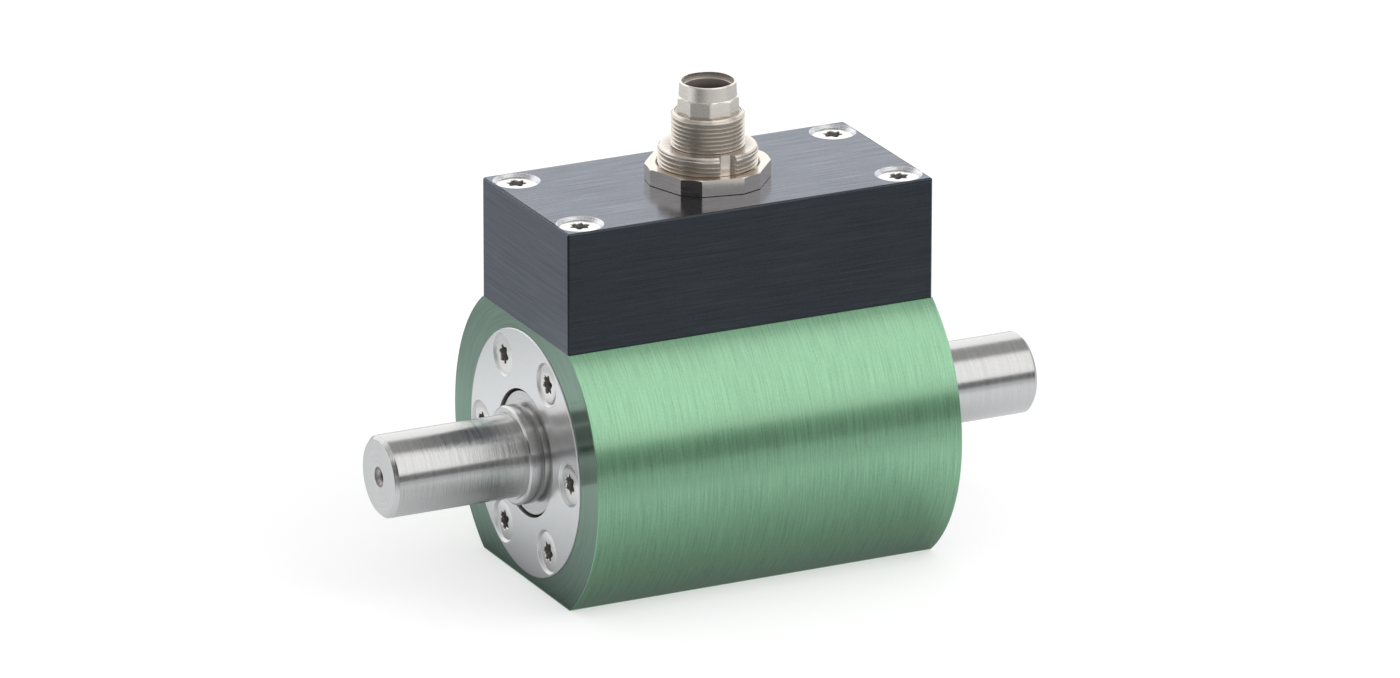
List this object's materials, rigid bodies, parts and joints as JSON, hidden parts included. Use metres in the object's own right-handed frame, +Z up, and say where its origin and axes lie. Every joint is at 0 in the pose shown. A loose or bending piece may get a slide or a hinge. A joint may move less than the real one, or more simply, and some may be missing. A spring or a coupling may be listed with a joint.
{
  "type": "rotary torque sensor",
  "caption": "Round torque sensor with a shaft end on each side, a flat base, a box of electronics on top and an upright round panel connector.",
  "frame": {"origin": "centre of the flat base, under the middle of the housing", "axes": "+X along the shaft towards the drive side, +Z up through the connector, the test side is at -X"},
  "size_m": [0.1279, 0.06, 0.0887],
  "materials": {
    "green_anodised": "green anodised, brushed round the bar",
    "black_anodised": "black anodised, fine brushed lines along its length",
    "cover_metal": "bright turned and ground face",
    "shaft_steel": "ground stainless steel",
    "screw_steel": "bright stainless steel",
    "bearing_steel": "polished bearing steel",
    "cage_brass": "pressed brass",
    "spring_steel": "blued spring steel",
    "coil_copper": "potted copper winding",
    "circuit_board": "green solder mask",
    "chip_plastic": "black moulded packages",
    "gauge_foil": "amber foil",
    "seal_rubber": "black rubber",
    "wire_jacket": "thin coloured wire jackets",
    "connector_nickel": "nickel plated brass",
    "insert_plastic": "dark moulded plastic",
    "pin_gold": "gold plated"
  },
  "bodies": {
    "housing": {"housing": "green_anodised", "test_end_cover": "cover_metal", "drive_end_cover": "cover_metal", "test_end_screws": "screw_steel", "drive_end_screws": "screw_steel", "test_bearing_outer_ring": "bearing_steel", "drive_bearing_outer_ring": "bearing_steel", "preload_spring": "spring_steel", "stator_coil": "coil_copper", "electronics_cover": "black_anodised", "cover_seal": "seal_rubber", "cover_screws": "screw_steel", "main_board": "circuit_board", "board_screws": "screw_steel", "board_components": "chip_plastic", "stator_leads": "wire_jacket", "connector_shell": "connector_nickel", "connector_seal": "seal_rubber", "connector_nut": "connector_nickel", "connector_sleeve": "connector_nickel", "connector_insert": "insert_plastic", "connector_pins": "pin_gold"},
    "rotor": {"shaft": "shaft_steel", "test_collar": "shaft_steel", "drive_collar": "shaft_steel", "test_bearing_inner_ring": "bearing_steel", "drive_bearing_inner_ring": "bearing_steel", "rotor_coil": "coil_copper", "rotor_boards": "circuit_board", "rotor_board_screws": "screw_steel", "rotor_chips": "chip_plastic", "strain_gauges": "gauge_foil"},
    "test_cage": {"test_bearing_balls": "bearing_steel", "test_bearing_cage": "cage_brass"},
    "drive_cage": {"drive_bearing_balls": "bearing_steel", "drive_bearing_cage": "cage_brass"}
  },
  "joints": [
    {"name": "shaft_spin", "type": "hinge", "parent": "housing", "child": "rotor", "pos_m": [0, 0, 0.024], "axis": [1, 0, 0], "continuous": true},
    {"name": "test_cage_spin", "type": "hinge", "parent": "housing", "child": "test_cage", "pos_m": [-0.031, 0, 0.024], "axis": [1, 0, 0], "continuous": true},
    {"name": "drive_cage_spin", "type": "hinge", "parent": "housing", "child": "drive_cage", "pos_m": [0.029, 0, 0.024], "axis": [1, 0, 0], "continuous": true}
  ],
  "couplings": [
    {"joint": "test_cage_spin", "follows": "shaft_spin", "ratio": 0.406},
    {"joint": "drive_cage_spin", "follows": "shaft_spin", "ratio": 0.406}
  ]
}
